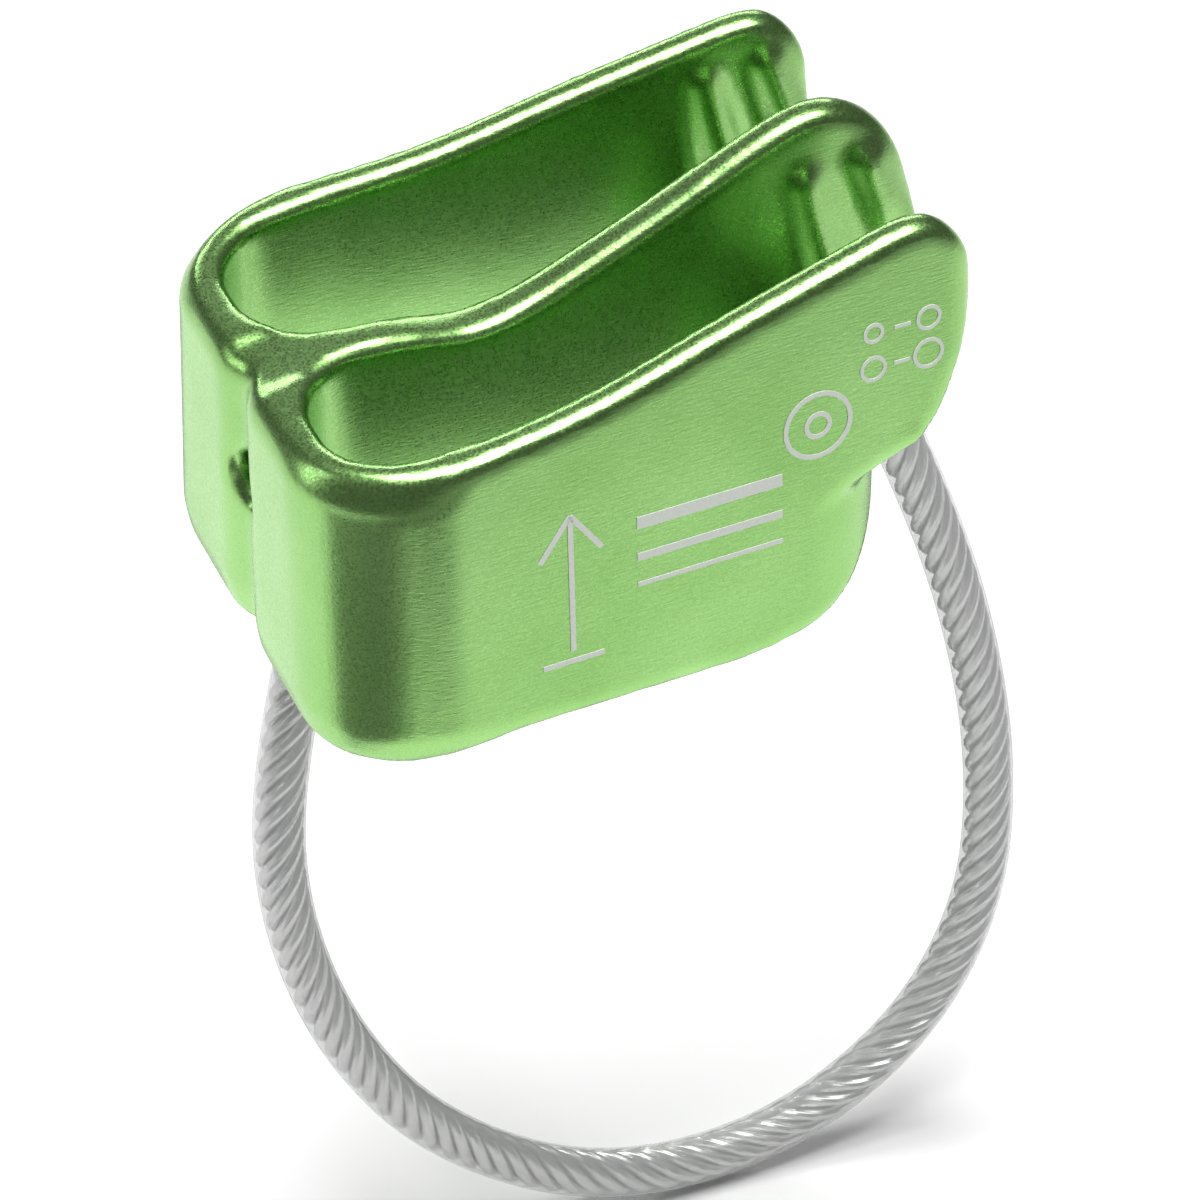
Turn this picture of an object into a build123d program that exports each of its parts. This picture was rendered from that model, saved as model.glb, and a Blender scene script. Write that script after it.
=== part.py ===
from build123d import *
import math
import os

# Tube-style belay device: one forged body with two rope slots, and a plastic-coated
# wire keeper loop whose two ends are swaged into bores in the body.
# Millimetres. +X runs to the brake end, -Y is the marked face, +Z is up.
# The origin is the carabiner seat: the underside of the centre web, halfway along.

# ---- driving dimensions -------------------------------------------------------------
blank_bottom_z = -3.0
blank_top_z = 38.0                 # the blank is cut down to the rim profiles

front_half_width = 21.1            # outer face's distance from the centre plane at x=0, z=0
face_lean = 0.0706                 # outer faces come in by this much per mm of height
face_yaw = 0.0691                  # and by this much per mm towards the brake end
brake_end_x = 29.8
brake_corner_x = 27.0
brake_corner_radius = 2.4

left_end_x = -27.2
foot_z = 1.5                       # below this the lobes' walls slope in to the underside
shoulder_z = 22.3                  # above this the lobes' walls slope in to the rim
shoulder_end_x = -9.0              # the slopes fade out along the outer faces by here
valley_radius = 2.5                # round at the bottom of the groove between the lobes
# Plan of the lobes at the blank's bottom, between foot and shoulder, and at its top: how far in
# the left end and the outer faces stand, the lobe's radius, the radius beside the groove, and
# that round's distance from the centre plane.
lobe_foot = (0.8, 1.8, 8.6, 5.2, 3.8)
lobe_wall = (0.0, 0.0, 10.0, 6.0, 4.2)
lobe_top = (5.8, 10.4, 2.5, 2.2, 3.0)

plate_thickness = 3.2
web_half_top = 1.65
web_half_bottom = 2.7
web_slab_half = 3.0
slot_left_x = -23.6
slot_right_x = 16.2
slot_bend_x = -12.0                # from here to the climber end the slot's outer wall turns in
slot_turn_in = 1.3
slot_bend_radius = 30.0
slot_right_corner_radius = 3.0
gap_start_x = 8.0
gap_end_x = 34.0

lower_end_x = 21.2                 # the lower body stops here, under the wings
lower_corner_radius = 9.5

# The friction ribs on the web: the middle of the rounded top, its lean towards the brake end in
# degrees, the radius there and at the foot.
ribs_on_web = [(19.8, 30.6, 13.0, 1.5, 2.1), (25.2, 31.4, 21.0, 1.7, 2.5)]
rib_height = 16.0
rib_sink = 0.6                     # how far a rib's middle lies inside its wall
plate_rib_shift = -1.5             # the plates' ribs stand this much nearer the climber end

cable_radius = 2.2                 # over the clear coat
core_radius = 1.5                  # over the wire rope
ferrule_radius = 1.9
pivot_drop = 2.5                   # the bend points lie this far outside the body
pivot_clearance = 0.05
root_start = 1.0                   # the fixed coat stops this far short of each bend point, clear of the swing
left_coat_depth = 5.0              # how far the clear coat runs into each bore
left_ferrule_length = 10.5
right_coat_depth = 1.5
right_ferrule_length = 4.5
crimp_hole_radius = 2.35
crimp_hole_z = 13.1

left_pivot = (-22.0, 0.0, -4.0)    # the loop bends about the line through these two points
right_pivot = (25.0, 0.0, 13.4)
loop_points = [
    left_pivot,
    (-24.7, 0.0, -16.0),
    (-25.0, 0.0, -31.0),
    (-20.6, 0.0, -47.5),
    (-11.7, 0.0, -62.4),
    (3.2, 0.0, -73.6),
    (19.5, 0.0, -75.0),
    (33.2, 0.0, -67.2),
    (40.3, 0.0, -53.5),
    (40.6, 0.0, -36.5),
    (37.2, 0.0, -18.5),
    (31.0, 0.0, -0.5),
    right_pivot,
]

# Rim line of the two outer plates, from the climber end over the wing to its underside.
outer_rim = [(-30.0, 23.2), (-25.0, 24.4), (-18.0, 25.4), (-11.4, 26.3), (-4.0, 27.7), (4.4, 30.3), (12.8, 32.8),
             (19.1, 34.6), (23.8, 35.0), (26.8, 32.0), (27.6, 28.6), (26.9, 24.0), (25.6, 20.0), (24.0, 16.9),
             (20.0, 14.6)]
# Rim line of the centre web, which dips between the lobes and rises higher at the brake end.
web_rim = [(-30.0, 22.9), (-25.0, 24.0), (-18.0, 24.8), (-12.5, 24.5), (-8.0, 23.9), (-4.0, 24.8), (1.2, 27.1),
           (8.8, 30.9), (16.7, 35.1), (22.0, 36.4), (26.7, 33.7), (29.0, 28.5), (29.6, 22.5), (26.6, 16.6),
           (20.0, 14.6)]
# Underside of the body at the climber end, from the end of the flat seat.
seat_end = (5.0, 0.0)
climber_underside = [(-10.0, 0.0), (-15.0, -0.45), (-20.0, -1.2), (-25.0, -1.7), (-30.0, -1.8)]
# Underside of the wings, from the lower body out to past the brake end.
wing_underside = [(6.0, 11.6), (12.0, 12.2), (15.5, 12.9), (20.0, 14.6), (22.6, 15.4), (40.0, 16.4)]


# ---- helpers ------------------------------------------------------------------------
def half_width(x, z):
    """Distance of the outer face from the centre plane."""
    return front_half_width - face_lean * z - face_yaw * x


def web_half(z):
    """Half the thickness of the centre web, which has a little draft."""
    return web_half_bottom + (web_half_top - web_half_bottom) * z / blank_top_z


def shared_normal(first, first_radius, second, second_radius):
    """Unit normal of the line that touches two circles on their outer side."""
    apart = first - second
    angle = math.atan2(apart.Y, apart.X) + math.acos((second_radius - first_radius) / apart.length)
    return Vector(math.cos(angle), math.sin(angle))


def arc_middle(centre, radius, start, end):
    """Middle of the arc between two points of a circle."""
    return centre + ((start - centre).normalized() + (end - centre).normalized()).normalized() * radius


def blank_outline(z, lobe, end_x, corner_x, corner_radius):
    """Plan outline of the body at height z: two lobes, two straight faces, a bowed end."""
    left_inset, face_inset, lobe_radius, knuckle_radius, knuckle_y = lobe
    left_x = left_end_x + left_inset
    lobe_x = left_x + lobe_radius
    lobe_y = half_width(lobe_x, z) - face_inset - lobe_radius * math.hypot(1, face_yaw)
    lobe_centre = Vector(lobe_x, -lobe_y)
    knuckle = Vector(left_x + knuckle_radius, -knuckle_y)
    reach = knuckle_radius + valley_radius
    valley = Vector(knuckle.X - math.sqrt(reach ** 2 - knuckle_y ** 2), 0)
    shoulder_end = Vector(shoulder_end_x, -half_width(shoulder_end_x, z))
    corner = Vector(corner_x, -half_width(corner_x, z))
    left_normal = shared_normal(knuckle, knuckle_radius, lobe_centre, lobe_radius)
    face_normal = shared_normal(lobe_centre, lobe_radius, shoulder_end, 0.0)
    inner = valley + (knuckle - valley) * (valley_radius / reach)
    knuckle_end = knuckle + left_normal * knuckle_radius
    lobe_start = lobe_centre + left_normal * lobe_radius
    lobe_end = lobe_centre + face_normal * lobe_radius
    knuckle_middle = arc_middle(knuckle, knuckle_radius, inner, knuckle_end)
    lobe_middle = arc_middle(lobe_centre, lobe_radius, lobe_start, lobe_end)
    with BuildSketch(Plane.XY.offset(z)) as outline:
        with BuildLine():
            ThreePointArc((inner.X, -inner.Y), (valley.X + valley_radius, 0), (inner.X, inner.Y))
            ThreePointArc((corner.X, corner.Y), (end_x, 0), (corner.X, -corner.Y))
            for side in (1, -1):
                ThreePointArc((inner.X, side * inner.Y), (knuckle_middle.X, side * knuckle_middle.Y),
                              (knuckle_end.X, side * knuckle_end.Y))
                Line((knuckle_end.X, side * knuckle_end.Y), (lobe_start.X, side * lobe_start.Y))
                ThreePointArc((lobe_start.X, side * lobe_start.Y), (lobe_middle.X, side * lobe_middle.Y),
                              (lobe_end.X, side * lobe_end.Y))
                Line((lobe_end.X, side * lobe_end.Y), (shoulder_end.X, side * shoulder_end.Y))
                Line((shoulder_end.X, side * shoulder_end.Y), (corner.X, side * corner.Y))
        make_face()
        fillet(outline.vertices().sort_by(Axis.X)[-2:], corner_radius)
    return outline.sketch


def slot_outline(z, side):
    """Plan outline of one rope slot at height z: round at the climber end, narrower at the brake end."""
    inner_y = web_half(z)
    left_outer_y = half_width(slot_left_x, z) - plate_thickness - slot_turn_in
    bend_y = half_width(slot_bend_x, z) - plate_thickness
    right_outer_y = half_width(slot_right_x, z) - plate_thickness
    left_radius = 0.44 * (left_outer_y - inner_y)
    with BuildSketch(Plane.XY.offset(z)) as outline:
        with BuildLine():
            Polyline(
                (slot_left_x, side * inner_y),
                (slot_left_x, side * left_outer_y),
                (slot_bend_x, side * bend_y),
                (slot_right_x, side * right_outer_y),
                (slot_right_x, side * inner_y),
                close=True,
            )
        make_face()
        fillet(outline.vertices().sort_by(Axis.X)[2], slot_bend_radius)
        fillet(outline.vertices().sort_by(Axis.X)[:2], left_radius)
        fillet(outline.vertices().sort_by(Axis.X)[-2:], slot_right_corner_radius)
    return outline.sketch


def gap_outline(z, side):
    """Plan outline of the gap between a plate and the web past the slot, open at the brake end."""
    inner_y = web_half(z)
    with BuildSketch(Plane.XY.offset(z)) as outline:
        with BuildLine():
            Polyline(
                (gap_start_x, side * inner_y),
                (gap_start_x, side * (half_width(gap_start_x, z) - plate_thickness)),
                (gap_end_x, side * (half_width(gap_end_x, z) - plate_thickness)),
                (gap_end_x, side * inner_y),
                close=True,
            )
        make_face()
    return outline.sketch


def side_profile(rim, half_span):
    """Side view of the body under one rim line, as a face standing off the centre plane."""
    with BuildSketch(Plane.XZ.offset(-half_span)) as profile:
        with BuildLine():
            Spline(*rim)
            Line(rim[-1], (lower_end_x, 12.0))
            Bezier((lower_end_x, 12.0), (lower_end_x - 0.6, 4.0), (15.0, 0.0), seat_end)
            Line(seat_end, climber_underside[0])
            Spline(*climber_underside, tangents=[(-1, 0), (-1, 0)])
            Line(climber_underside[-1], rim[0])
        make_face()
    return profile.sketch


def end_wall_side():
    """Side view of the space above the sloping wall that closes the slots at the brake end."""
    with BuildSketch(Plane.XZ.offset(-30.0)) as space:
        with BuildLine():
            Line((9.0, 50.0), (9.0, 6.0))
            Line((9.0, 6.0), (16.0, 6.0))
            Spline((16.0, 6.0), (17.2, 13.0), (20.0, 18.4), (24.0, 20.6), (33.0, 21.2))
            Line((33.0, 21.2), (33.0, 50.0))
            Line((33.0, 50.0), (9.0, 50.0))
        make_face()
    return space.sketch


def route_radii(points):
    """Bend radius at each inner point of a route: as large as its two runs allow."""
    radii = []
    for before, here, after in zip(points, points[1:], points[2:]):
        run_in = Vector(*here) - Vector(*before)
        run_out = Vector(*after) - Vector(*here)
        half_turn = math.radians(run_in.get_angle(run_out)) / 2
        radii.append(0.45 * min(run_in.length, run_out.length) / math.tan(half_turn))
    return radii


def loop_tube(radius):
    """A round rod along the loop's path."""
    with BuildPart() as tube:
        with BuildSketch(Plane(origin=loop_points[0], z_dir=loop_wire % 0)):
            Circle(radius)
        sweep(path=loop_wire)
    return tube.part


def root_sleeve(plane, outer_radius, inner_radius, start, end):
    """A sleeve or, with no inner radius, a rod in one bore, hollowed to clear the loop's round end."""
    with BuildPart() as sleeve:
        with Locations(plane.offset(start)):
            Cylinder(outer_radius, end - start, align=from_base)
            if inner_radius:
                Cylinder(inner_radius, end - start, align=from_base, mode=Mode.SUBTRACT)
        with Locations(plane):
            Sphere(cable_radius + pivot_clearance, mode=Mode.SUBTRACT)
    return sleeve.part


from_base = (Align.CENTER, Align.CENTER, Align.MIN)
left_plane = Plane(left_pivot, z_dir=(0, 0, 1))
right_plane = Plane(right_pivot, z_dir=Vector(*right_pivot) - Vector(*loop_points[-2]))
cable_ends = [
    (left_plane, left_coat_depth, left_ferrule_length),
    (right_plane, right_coat_depth, right_ferrule_length),
]

# ---- body ---------------------------------------------------------------------------
with BuildPart() as blank:
    levels = (blank_bottom_z, foot_z, shoulder_z, blank_top_z)
    for z, lobe in zip(levels, (lobe_foot, lobe_wall, lobe_wall, lobe_top)):
        add(blank_outline(z, lobe, brake_end_x, brake_corner_x, brake_corner_radius))
    loft(ruled=True)

with BuildPart() as lower_blank:
    for z in (blank_bottom_z, blank_top_z):
        add(blank_outline(z, lobe_wall, lower_end_x + 0.6, lower_end_x, lower_corner_radius))
    loft(ruled=True)

with BuildPart() as under_wing:
    with BuildSketch(Plane.XZ):
        with BuildLine():
            Polyline((6, -2), *wing_underside, (40, -2), close=True)
        make_face()
    extrude(amount=30, both=True)
    add(lower_blank.part, mode=Mode.SUBTRACT)

with BuildPart() as outer_slab:
    extrude(side_profile(outer_rim, 30.0), amount=60.0)

with BuildPart() as web_slab:
    extrude(side_profile(web_rim, web_slab_half), amount=2 * web_slab_half)

with BuildPart() as slots:
    for side in (-1, 1):
        add(slot_outline(blank_bottom_z, side))
        add(slot_outline(blank_top_z, side))
        loft(ruled=True)

with BuildPart() as wing_gaps:
    for side in (-1, 1):
        add(gap_outline(blank_bottom_z, side))
        add(gap_outline(blank_top_z, side))
        loft(ruled=True)
    extrude(end_wall_side(), amount=60.0, mode=Mode.INTERSECT)

with BuildPart() as envelope:
    add(outer_slab.part)
    with Locations((0, 0, 20)):
        Box(80, 2 * web_slab_half, 60, mode=Mode.SUBTRACT)
    add(web_slab.part)
    add(blank.part, mode=Mode.INTERSECT)
    add(under_wing.part, mode=Mode.SUBTRACT)

with BuildPart() as ribs:
    for side in (-1, 1):
        for tip_x, tip_z, lean, tip_radius, foot_radius in ribs_on_web:
            plate_x = tip_x + plate_rib_shift
            plate_y = half_width(plate_x, tip_z) - plate_thickness + rib_sink
            for rib_x, rib_y in ((tip_x, web_half(tip_z) - rib_sink), (plate_x, plate_y)):
                with Locations(Pos(rib_x, side * rib_y, tip_z) * Rot(0, -lean, 0)):
                    Sphere(tip_radius)
                    with Locations((0, 0, -rib_height)):
                        Cone(foot_radius, tip_radius, rib_height, align=from_base)
    add(envelope.part, mode=Mode.INTERSECT)

with BuildPart() as body:
    add(envelope.part)
    add(slots.part, mode=Mode.SUBTRACT)
    add(wing_gaps.part, mode=Mode.SUBTRACT)
    add(ribs.part)
    for plane, coat_depth, ferrule_length in cable_ends:
        with Locations(plane):
            Cylinder(cable_radius, pivot_drop + coat_depth, align=from_base, mode=Mode.SUBTRACT)
            Cylinder(ferrule_radius, pivot_drop + coat_depth + ferrule_length, align=from_base, mode=Mode.SUBTRACT)
    with Locations(Plane((left_pivot[0], 0, crimp_hole_z), z_dir=(-1, 0, 0))):
        Cylinder(crimp_hole_radius, 10.0, align=from_base, mode=Mode.SUBTRACT)
body.part.label = "body"

# ---- keeper loop --------------------------------------------------------------------
radii = route_radii(loop_points)
print("loop bend radii", [round(r, 1) for r in radii])
with BuildLine() as loop_path:
    FilletPolyline(*loop_points, radius=radii)
loop_wire = loop_path.wire()
print("loop length", loop_wire.length)

with BuildPart() as cable_core:
    add(loop_tube(core_radius))
cable_core.part.label = "cable_core"
print("core volume", cable_core.part.volume, "section x length", math.pi * core_radius ** 2 * loop_wire.length)

with BuildPart() as cable_coat:
    add(loop_tube(cable_radius))
    with Locations(left_pivot, right_pivot):
        Sphere(cable_radius)
    add(cable_core.part, mode=Mode.SUBTRACT)
cable_coat.part.label = "cable_coat"

pieces = [body.part, cable_core.part, cable_coat.part]
for name, (plane, coat_depth, ferrule_length) in zip(("left", "right"), cable_ends):
    coat_end = pivot_drop + coat_depth
    ferrule_end = coat_end + ferrule_length
    coat = root_sleeve(plane, cable_radius, core_radius, root_start, coat_end)
    coat.label = f"coat_root_{name}"
    core = root_sleeve(plane, core_radius, 0.0, root_start, ferrule_end)
    core.label = f"core_root_{name}"
    ferrule = root_sleeve(plane, ferrule_radius, core_radius, coat_end, ferrule_end)
    ferrule.label = f"ferrule_{name}"
    pieces += [coat, core, ferrule]

os.makedirs("parts", exist_ok=True)
for piece in pieces:
    export_step(piece, f"parts/{piece.label}.step")
    print(piece.label, "volume", round(piece.volume, 1), "box", piece.bounding_box())
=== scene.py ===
import math

import bpy
import numpy as np
import openvdb
from mathutils import Matrix, Vector


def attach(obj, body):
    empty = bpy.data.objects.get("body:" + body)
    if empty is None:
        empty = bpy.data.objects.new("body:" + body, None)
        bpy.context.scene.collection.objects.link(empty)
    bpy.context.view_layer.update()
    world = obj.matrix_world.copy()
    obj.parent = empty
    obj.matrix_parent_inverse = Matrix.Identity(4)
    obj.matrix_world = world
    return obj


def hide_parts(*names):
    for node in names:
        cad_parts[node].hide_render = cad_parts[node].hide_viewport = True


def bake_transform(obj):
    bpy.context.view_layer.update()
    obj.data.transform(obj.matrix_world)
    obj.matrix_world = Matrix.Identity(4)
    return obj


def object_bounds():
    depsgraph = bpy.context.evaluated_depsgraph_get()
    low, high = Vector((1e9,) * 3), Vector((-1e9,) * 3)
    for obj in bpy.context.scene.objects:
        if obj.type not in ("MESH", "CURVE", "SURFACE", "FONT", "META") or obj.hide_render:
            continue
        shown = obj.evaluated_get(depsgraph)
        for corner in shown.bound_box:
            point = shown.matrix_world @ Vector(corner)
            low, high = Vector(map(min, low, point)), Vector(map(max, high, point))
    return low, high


# Belay device: a green anodised forging with two rope slots and a coated wire keeper loop.
# Metres, in the CAD frame: +X is the brake end, -Y the marked face, +Z up, and the origin is
# the underside of the centre web, halfway along.

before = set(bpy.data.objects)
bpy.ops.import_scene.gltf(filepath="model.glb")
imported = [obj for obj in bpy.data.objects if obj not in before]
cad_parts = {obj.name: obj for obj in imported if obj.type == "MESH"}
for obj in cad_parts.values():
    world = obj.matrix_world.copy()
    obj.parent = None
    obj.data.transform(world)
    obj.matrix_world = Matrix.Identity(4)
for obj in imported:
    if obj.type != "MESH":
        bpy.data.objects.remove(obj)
cad_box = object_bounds()
MM = 0.001


# ---- helpers ----------------------------------------------------------------------------
def add_object(name, data):
    made = bpy.data.objects.new(name, data)
    bpy.context.scene.collection.objects.link(made)
    return made


def mesh_object(name, points, faces):
    """A smooth-shaded mesh object from points and faces."""
    mesh = bpy.data.meshes.new(name)
    mesh.from_pydata([tuple(p) for p in points], [], [tuple(f) for f in faces])
    mesh.update()
    mesh.shade_smooth()
    return add_object(name, mesh)


def link(tree, source, target):
    tree.links.new(source, target)


def new_material(name):
    """A material with one Principled node, and its tree and that node."""
    material = bpy.data.materials.new(name)
    material.use_nodes = True
    tree = material.node_tree
    return material, tree, tree.nodes["Principled BSDF"]


def node(tree, kind, **settings):
    made = tree.nodes.new(kind)
    for key, value in settings.items():
        setattr(made, key, value)
    return made


def noise(tree, vector, scale, detail):
    made = node(tree, "ShaderNodeTexNoise")
    made.inputs["Scale"].default_value = scale
    made.inputs["Detail"].default_value = detail
    made.inputs["Roughness"].default_value = 0.55
    link(tree, vector, made.inputs["Vector"])
    return made.outputs["Fac"]


def stretched(tree, vector, scale):
    """The same coordinates, scaled by a different amount along each axis."""
    made = node(tree, "ShaderNodeMapping")
    made.inputs["Scale"].default_value = scale
    link(tree, vector, made.inputs["Vector"])
    return made.outputs["Vector"]


def remap(tree, value, low, high, to_low, to_high):
    made = node(tree, "ShaderNodeMapRange")
    made.inputs["From Min"].default_value = low
    made.inputs["From Max"].default_value = high
    made.inputs["To Min"].default_value = to_low
    made.inputs["To Max"].default_value = to_high
    link(tree, value, made.inputs["Value"])
    return made.outputs["Result"]


def mixed(tree, factor, first, second):
    """A mix of two colours."""
    made = node(tree, "ShaderNodeMix", data_type="RGBA")
    link(tree, factor, made.inputs["Factor"])
    made.inputs[6].default_value = (*first, 1.0)       # the colour sockets A and B
    made.inputs[7].default_value = (*second, 1.0)
    return made.outputs[2]                             # the colour result


def bump(tree, height, strength, distance, normal=None):
    made = node(tree, "ShaderNodeBump")
    made.inputs["Strength"].default_value = strength
    made.inputs["Distance"].default_value = distance
    link(tree, height, made.inputs["Height"])
    if normal is not None:
        link(tree, normal, made.inputs["Normal"])
    return made.outputs["Normal"]


# ---- camera -----------------------------------------------------------------------------
camera_target = Vector((1.16, -5.54, -2.69)) * MM
camera_distance = 446.6 * MM
camera_azimuth = math.radians(-22.9)
camera_elevation = math.radians(38.5)
camera_roll = math.radians(0.43)

turn = Matrix.Rotation(camera_azimuth, 4, "Z")
turn = turn @ Matrix.Rotation(math.pi / 2 - camera_elevation, 4, "X")
turn = turn @ Matrix.Rotation(camera_roll, 4, "Z")
camera_offset = turn.to_3x3() @ Vector((0, 0, camera_distance))
camera_data = bpy.data.cameras.new("camera")
camera_data.lens = 167.1
camera_data.sensor_width = 36.0
camera_data.clip_start = 0.01
camera_data.clip_end = 20.0
camera = add_object("camera", camera_data)
camera.matrix_world = Matrix.Translation(camera_target + camera_offset) @ turn
bpy.context.scene.camera = camera

# ---- keeper loop ------------------------------------------------------------------------
left_pivot = Vector((-22.0, 0.0, -4.0)) * MM
right_pivot = Vector((25.0, 0.0, 13.4)) * MM
loop_points = [
    left_pivot,
    Vector((-24.7, 0.0, -16.0)) * MM,
    Vector((-25.0, 0.0, -31.0)) * MM,
    Vector((-20.6, 0.0, -47.5)) * MM,
    Vector((-11.7, 0.0, -62.4)) * MM,
    Vector((3.2, 0.0, -73.6)) * MM,
    Vector((19.5, 0.0, -75.0)) * MM,
    Vector((33.2, 0.0, -67.2)) * MM,
    Vector((40.3, 0.0, -53.5)) * MM,
    Vector((40.6, 0.0, -36.5)) * MM,
    Vector((37.2, 0.0, -18.5)) * MM,
    Vector((31.0, 0.0, -0.5)) * MM,
    right_pivot,
]
cable_radius = 2.2 * MM
hidden_length = 5.0 * MM           # how far the shown cable runs on into each bore
strand_count = 6
strand_orbit = 1.36 * MM           # drawn a little thicker than the rope is: the coat magnifies it
strand_radius = 0.66 * MM
rope_lay = 14.4 * MM               # one turn of the strands, right-handed
wire_lay = 5.5 * MM                # the wires' turn; see the note at wire_step
wires_in_strand = 9
wire_groove = 0.10                 # depth of the grooves between wires, in strand radii
heart_radius = strand_orbit - 0.6 * strand_radius    # the rope's middle, under the strands
coat_step = 0.8 * MM               # between the coat's rings
wire_step = 0.45 * MM              # between the strands' rings: each ring turns by about one wire,
                                   # so the grooves between wires run nearly along the strand
coat_sides = 48
strand_sides = 30
heart_sides = 16


def route_line():
    """Points down the middle of the loop, read from its NURBS spline."""
    curve = bpy.data.curves.new("route", "CURVE")
    curve.dimensions = "3D"
    spline = curve.splines.new("NURBS")
    spline.points.add(len(loop_points) - 1)
    for point, place in zip(spline.points, loop_points):
        point.co = (*place, 1.0)
    spline.order_u = 3
    spline.use_endpoint_u = True
    spline.resolution_u = 24
    holder = bpy.data.objects.new("route", curve)
    mesh = bpy.data.meshes.new_from_object(holder)
    line = np.array([v.co for v in mesh.vertices])
    bpy.data.objects.remove(holder)
    bpy.data.curves.remove(curve)
    bpy.data.meshes.remove(mesh)
    return line


def run_on(line, length):
    """The line with a straight stretch added at both ends."""
    first = line[0] - line[1]
    last = line[-1] - line[-2]
    start = line[0] + first / np.linalg.norm(first) * length
    end = line[-1] + last / np.linalg.norm(last) * length
    return np.vstack([start, line, end])


def spaced(line, step):
    """The line again, with points evenly about step apart, and how far along it each one is."""
    along = np.concatenate([[0], np.cumsum(np.linalg.norm(np.diff(line, axis=0), axis=1))])
    at = np.linspace(0, along[-1], int(along[-1] / step) + 1)
    return np.stack([np.interp(at, along, line[:, k]) for k in range(3)], axis=1), at


def plane_frames(line):
    """At each point of a line in the XZ plane: the two directions across it."""
    along = np.gradient(line, axis=0)
    along /= np.linalg.norm(along, axis=1)[:, None]
    sideways = np.tile([0.0, 1.0, 0.0], (len(line), 1))
    return np.cross(sideways, along), sideways


def tube_faces(rings, around):
    """Quads between the rings of a tube, and a cap at each end."""
    faces = []
    for i in range(rings - 1):
        for j in range(around):
            k = (j + 1) % around
            faces.append((i * around + j, i * around + k, (i + 1) * around + k, (i + 1) * around + j))
    faces.append(tuple(range(around))[::-1])
    faces.append(tuple((rings - 1) * around + j for j in range(around)))
    return faces


def round_tube(line, radius, around):
    """Points and faces of a round tube along a line."""
    across, sideways = plane_frames(line)
    angles = np.arange(around) * 2 * math.pi / around
    ring = across[:, None] * np.cos(angles)[:, None] + sideways[:, None] * np.sin(angles)[:, None]
    return (line[:, None] + radius * ring).reshape(-1, 3), tube_faces(len(line), around)


def strand_tube(line, at, phase, around):
    """Points and faces of one strand: a lobed rod, its lobes the wires, wound round the line."""
    across, sideways = plane_frames(line)
    turned = (phase + at / rope_lay * 2 * math.pi)[:, None]
    outward = across * np.cos(turned) + sideways * np.sin(turned)
    around_rope = sideways * np.cos(turned) - across * np.sin(turned)
    middle = line + strand_orbit * outward
    angles = np.arange(around) * 2 * math.pi / around
    twist = (at * 2 * math.pi * (1 / wire_lay + 1 / rope_lay))[:, None]
    lobes = np.abs(np.cos((angles + twist) * wires_in_strand / 2))
    reach = strand_radius * (1 - wire_groove * (1 - lobes))
    ring = outward[:, None] * np.cos(angles)[:, None] + around_rope[:, None] * np.sin(angles)[:, None]
    return (middle[:, None] + reach[:, :, None] * ring).reshape(-1, 3), tube_faces(len(line), around)


def joined(parts):
    """One set of points and faces from several."""
    points, faces, count = [], [], 0
    for part_points, part_faces in parts:
        points.append(part_points)
        faces += [tuple(i + count for i in face) for face in part_faces]
        count += len(part_points)
    return np.vstack(points), faces


route = route_line()
cable_line, _ = spaced(run_on(route, hidden_length), coat_step)
wire_line, wire_at = spaced(run_on(route, hidden_length), wire_step)

clear_coat = mesh_object("cable_clear_coat", *round_tube(cable_line, cable_radius, coat_sides))
rope_parts = []
for k in range(strand_count):
    rope_parts.append(strand_tube(wire_line, wire_at, k * 2 * math.pi / strand_count, strand_sides))
rope_parts.append(round_tube(wire_line, heart_radius, heart_sides))
wire_strands = mesh_object("cable_wire_strands", *joined(rope_parts))

# The line through both exits, and the direction across it that points down, away from the body.
hinge_line = (right_pivot - left_pivot).normalized()
away_from_body = hinge_line.cross(Vector((0, 1, 0)))
if away_from_body.z > 0:
    away_from_body.negate()
for piece in (clear_coat, wire_strands):
    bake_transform(piece)
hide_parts("cable_coat", "coat_root_left", "coat_root_right")
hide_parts("cable_core", "core_root_left", "core_root_right")

# ---- body -------------------------------------------------------------------------------
voxel = 0.22 * MM
coarse_step = 2                    # the surface is cut from every second sample of the field
edge_round = 0.95 * MM             # round on every outer edge of the forging
corner_round = 1.4 * MM            # fillet in every inner corner
smoothing_passes = 6


def mesh_arrays(obj):
    """A mesh's points and triangles."""
    mesh = obj.data
    mesh.calc_loop_triangles()
    points = np.zeros(len(mesh.vertices) * 3, np.float32)
    mesh.vertices.foreach_get("co", points)
    triangles = np.zeros(len(mesh.loop_triangles) * 3, np.int32)
    mesh.loop_triangles.foreach_get("vertices", triangles)
    return points.reshape(-1, 3), triangles.reshape(-1, 3).astype(np.uint32)


def distance_grid(points, triangles, quads, reach):
    """A grid of signed distances to a closed surface, good out to reach on both sides of it."""
    return openvdb.FloatGrid.createLevelSetFromPolygons(
        points, triangles, quads, openvdb.createLinearTransform(voxel), float(reach / voxel + 4)
    )


def moved_surface(points, triangles, quads, distance):
    """The closed surface moved outward by a distance, or inward if it is negative."""
    return distance_grid(points, triangles, quads, abs(distance)).convertToPolygons(distance)


def blurred(field):
    """The field smoothed a little along each axis, which takes the grid's own roughness away."""
    for _ in range(smoothing_passes):
        for axis in range(3):
            field = (np.roll(field, 1, axis) + 2 * field + np.roll(field, -1, axis)) / 4
    return field


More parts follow.
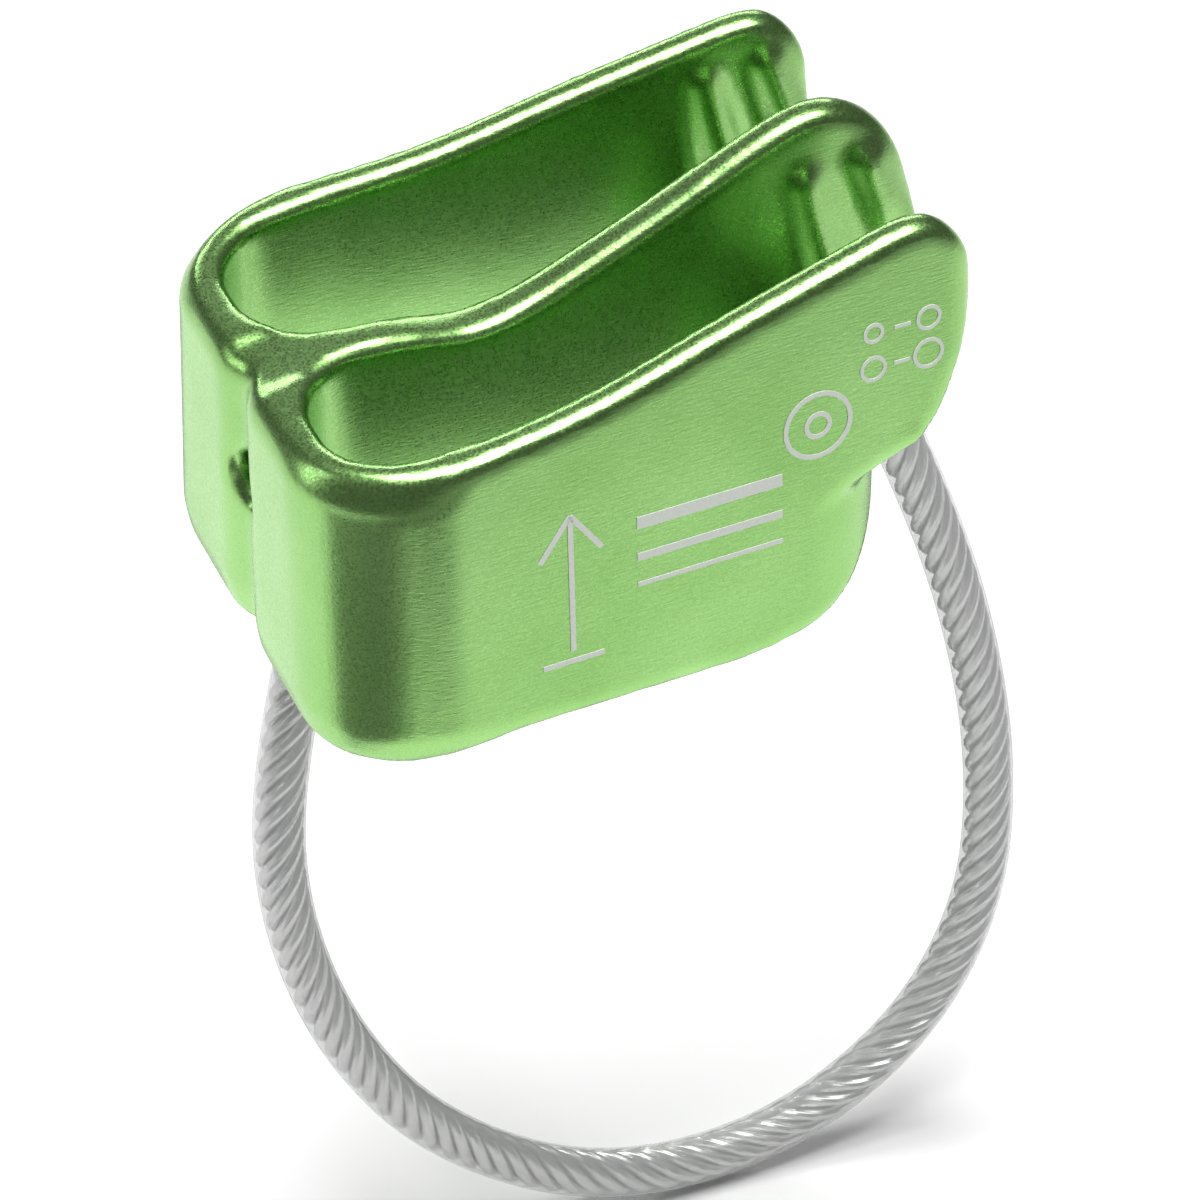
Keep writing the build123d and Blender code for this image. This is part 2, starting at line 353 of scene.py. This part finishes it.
def rounded_forging():
    """The CAD body with its outer edges rounded and its inner corners filleted."""
    points, triangles = mesh_arrays(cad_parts["body"])
    surface = moved_surface(points, triangles, None, -edge_round)
    surface = moved_surface(*surface, edge_round + corner_round)
    grid = distance_grid(*surface, corner_round)
    low, high = (tuple(int(n) for n in corner) for corner in grid.evalActiveVoxelBoundingBox())
    field = np.zeros([h - n + 1 for n, h in zip(low, high)], np.float32)
    grid.copyToArray(field, ijk=low)
    every = slice(None, None, coarse_step)
    coarse = blurred(field + corner_round)[every, every, every].astype(np.float32)
    final = openvdb.FloatGrid(float(coarse.max()))
    final.copyFromArray(coarse)
    points, triangles, quads = final.convertToPolygons(0.0)
    points = (points * coarse_step + low) * voxel
    faces = [tuple(reversed(f)) for f in triangles.tolist() + quads.tolist()]
    return points, faces


forging = mesh_object("forged_body", *rounded_forging())
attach(forging, "device")
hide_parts("body")

# Laser marks on the marked face: plain shapes only. Places are (x, z) on the face and widths
# are across the line, both in millimetres.
front_half_width = 21.1 * MM       # the face, as in the CAD
face_lean = 0.0706
face_yaw = 0.0691
mark_depth = 0.14 * MM             # each mark is a thin bar, half sunk in the face


def mark_line(places, width):
    """Points and faces of one thin bar along a line on the marked face."""
    flat = np.array(places, float) * MM
    along = np.gradient(flat, axis=0)
    along /= np.linalg.norm(along, axis=1)[:, None]
    across = np.stack([-along[:, 1], along[:, 0]], axis=1) * width * MM / 2
    rings = []
    for side, depth in ((-1, -1), (1, -1), (1, 1), (-1, 1)):
        x, z = (flat + side * across).T
        y = -(front_half_width - face_lean * z - face_yaw * x) - depth * mark_depth / 2
        rings.append(np.stack([x, y, z], axis=1))
    return np.stack(rings, axis=1).reshape(-1, 3), tube_faces(len(flat), 4)


def ring_places(x, z, radius):
    """Places round a ring."""
    angles = np.linspace(0, 2 * math.pi, 37)
    return [(x + radius * math.cos(a), z + radius * math.sin(a)) for a in angles]


mark_lines = [
    ([(-7.6, 6.5), (-7.6, 18.5)], 0.45),
    ([(-10.2, 15.3), (-7.6, 18.9)], 0.45),
    ([(-5.0, 15.3), (-7.6, 18.9)], 0.45),
    ([(-10.2, 5.6), (-5.0, 5.6)], 0.45),
    ([(-2.0, 16.4), (10.5, 16.4)], 1.1),
    ([(-2.0, 13.3), (10.5, 13.3)], 0.7),
    ([(-2.0, 10.8), (10.5, 10.8)], 0.4),
    (ring_places(13.6, 20.4, 2.8), 0.4),
    (ring_places(13.6, 20.4, 1.0), 0.4),
]
for row_z, radius in ((27.2, 0.75), (24.0, 1.0)):
    mark_lines.append((ring_places(18.4, row_z, radius), 0.3))
    mark_lines.append(([(20.2, row_z), (21.6, row_z)], 0.3))
    mark_lines.append((ring_places(23.2, row_z, radius + 0.2), 0.3))
mark_parts = [mark_line(places, width) for places, width in mark_lines]
laser_marks = mesh_object("laser_marks", *joined(mark_parts))
laser_marks.data.shade_flat()
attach(laser_marks, "device")


# ---- materials --------------------------------------------------------------------------
def anodised_material():
    """Green anodised, tumbled and brushed aluminium."""
    material, tree, shader = new_material("green_anodised")
    place = node(tree, "ShaderNodeTexCoord").outputs["Object"]
    cloud = noise(tree, place, 90.0, 2.0)
    grain = noise(tree, stretched(tree, place, (900.0, 3500.0, 6000.0)), 1.0, 2.0)
    speckle = noise(tree, place, 4500.0, 2.0)
    clouds = remap(tree, cloud, 0.3, 0.7, 0.0, 1.0)
    colour = mixed(tree, clouds, (0.28, 0.54, 0.165), (0.335, 0.61, 0.21))
    link(tree, colour, shader.inputs["Base Color"])
    shader.inputs["Metallic"].default_value = 1.0
    rough = remap(tree, speckle, 0.3, 0.7, 0.22, 0.36)
    link(tree, rough, shader.inputs["Roughness"])
    brushed = bump(tree, grain, 0.4, 0.00004)
    link(tree, bump(tree, speckle, 0.15, 0.00002, brushed), shader.inputs["Normal"])
    return material


def mark_material():
    """Anodising burnt off to pale grey metal by a laser."""
    material, tree, shader = new_material("laser_mark")
    place = node(tree, "ShaderNodeTexCoord").outputs["Object"]
    fleck = noise(tree, place, 5000.0, 2.0)
    colour = mixed(tree, fleck, (0.62, 0.66, 0.60), (0.80, 0.84, 0.78))
    link(tree, colour, shader.inputs["Base Color"])
    link(tree, remap(tree, fleck, 0.3, 0.7, 0.5, 0.7), shader.inputs["Roughness"])
    return material


def coat_material():
    """Clear plastic, slightly milky."""
    material, tree, shader = new_material("clear_coat")
    place = node(tree, "ShaderNodeTexCoord").outputs["Object"]
    haze = noise(tree, place, 700.0, 2.0)
    colour = mixed(tree, haze, (0.66, 0.67, 0.67), (0.76, 0.77, 0.77))
    link(tree, colour, shader.inputs["Base Color"])
    link(tree, remap(tree, haze, 0.3, 0.7, 0.10, 0.20), shader.inputs["Roughness"])
    shader.inputs["Alpha"].default_value = 0.42
    shader.inputs["IOR"].default_value = 1.5
    return material


def wire_material():
    """Bright drawn steel wire."""
    material, tree, shader = new_material("steel_wire")
    place = node(tree, "ShaderNodeTexCoord").outputs["Object"]
    stain = noise(tree, place, 500.0, 3.0)
    colour = mixed(tree, stain, (0.58, 0.58, 0.57), (0.80, 0.80, 0.79))
    link(tree, colour, shader.inputs["Base Color"])
    shader.inputs["Metallic"].default_value = 1.0
    link(tree, remap(tree, stain, 0.3, 0.7, 0.25, 0.38), shader.inputs["Roughness"])
    return material


def ferrule_material():
    """Satin swaged sleeve."""
    material, tree, shader = new_material("ferrule_metal")
    place = node(tree, "ShaderNodeTexCoord").outputs["Object"]
    scratches = noise(tree, stretched(tree, place, (2500.0, 2500.0, 300.0)), 1.0, 3.0)
    colour = mixed(tree, scratches, (0.42, 0.42, 0.42), (0.58, 0.58, 0.57))
    link(tree, colour, shader.inputs["Base Color"])
    shader.inputs["Metallic"].default_value = 1.0
    link(tree, remap(tree, scratches, 0.3, 0.7, 0.3, 0.5), shader.inputs["Roughness"])
    return material


def paint(obj, material):
    obj.data.materials.clear()
    obj.data.materials.append(material)


paint(forging, anodised_material())
paint(laser_marks, mark_material())
paint(clear_coat, coat_material())
paint(wire_strands, wire_material())
sleeve_metal = ferrule_material()
for name in ("ferrule_left", "ferrule_right"):
    paint(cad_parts[name], sleeve_metal)

# ---- floor and light --------------------------------------------------------------------
floor_z = cad_box[0].z - 0.3 * MM  # just under the loop
card_z = floor_z + 1.0 * MM


def flat_sheet(name, low_corner, high_corner, z, tone, roughness):
    """A level rectangle in a plain grey."""
    (x0, y0), (x1, y1) = low_corner, high_corner
    sheet = mesh_object(name, [(x0, y0, z), (x1, y0, z), (x1, y1, z), (x0, y1, z)], [(0, 1, 2, 3)])
    material, _, shader = new_material(name)
    shader.inputs["Base Color"].default_value = (tone, tone, tone, 1.0)
    shader.inputs["Roughness"].default_value = roughness
    paint(sheet, material)
    return sheet


flat_sheet("floor", (-3, -3), (3, 3), floor_z, 0.9, 0.6)

# Dark cards on the floor, seen only in reflections: behind the body, off its left corner, in
# front of it, and off to its right.
for name, low_corner, high_corner, tone in (
    ("under_card", (-0.03, 0.02), (0.12, 0.17), 0.02),
    ("corner_card", (-0.24, -0.19), (-0.07, -0.01), 0.10),
    ("front_card", (-0.25, -0.45), (0.045, -0.155), 0.08),
    ("right_card", (0.045, -0.45), (0.40, -0.20), 0.25),
):
    card = flat_sheet(name, low_corner, high_corner, card_z, tone, 0.8)
    card.visible_camera = False
    card.visible_diffuse = False
    card.visible_shadow = False


def area_light(name, place, target, size, power):
    data = bpy.data.lights.new(name, "AREA")
    data.shape = "RECTANGLE"
    data.size, data.size_y = size
    data.energy = power
    lamp = add_object(name, data)
    lamp.location = place
    lamp.rotation_euler = (Vector(target) - Vector(place)).to_track_quat("-Z", "Y").to_euler()


area_light("overhead", (0.0, -0.05, 0.70), (0, 0, -0.05), (0.45, 0.45), 8.6)
area_light("left_box", (-0.60, 0.20, 0.25), (0, 0, 0), (0.15, 0.40), 0.5)
area_light("back_strip", (0.10, 0.60, 0.22), (0, 0, 0), (0.60, 0.05), 1.0)
world = bpy.data.worlds.new("studio")
bpy.context.scene.world = world
world.use_nodes = True
background = world.node_tree.nodes["Background"]
background.inputs["Color"].default_value = (1.0, 1.0, 1.0, 1.0)
background.inputs["Strength"].default_value = 0.11
bpy.context.scene.view_settings.view_transform = "Standard"
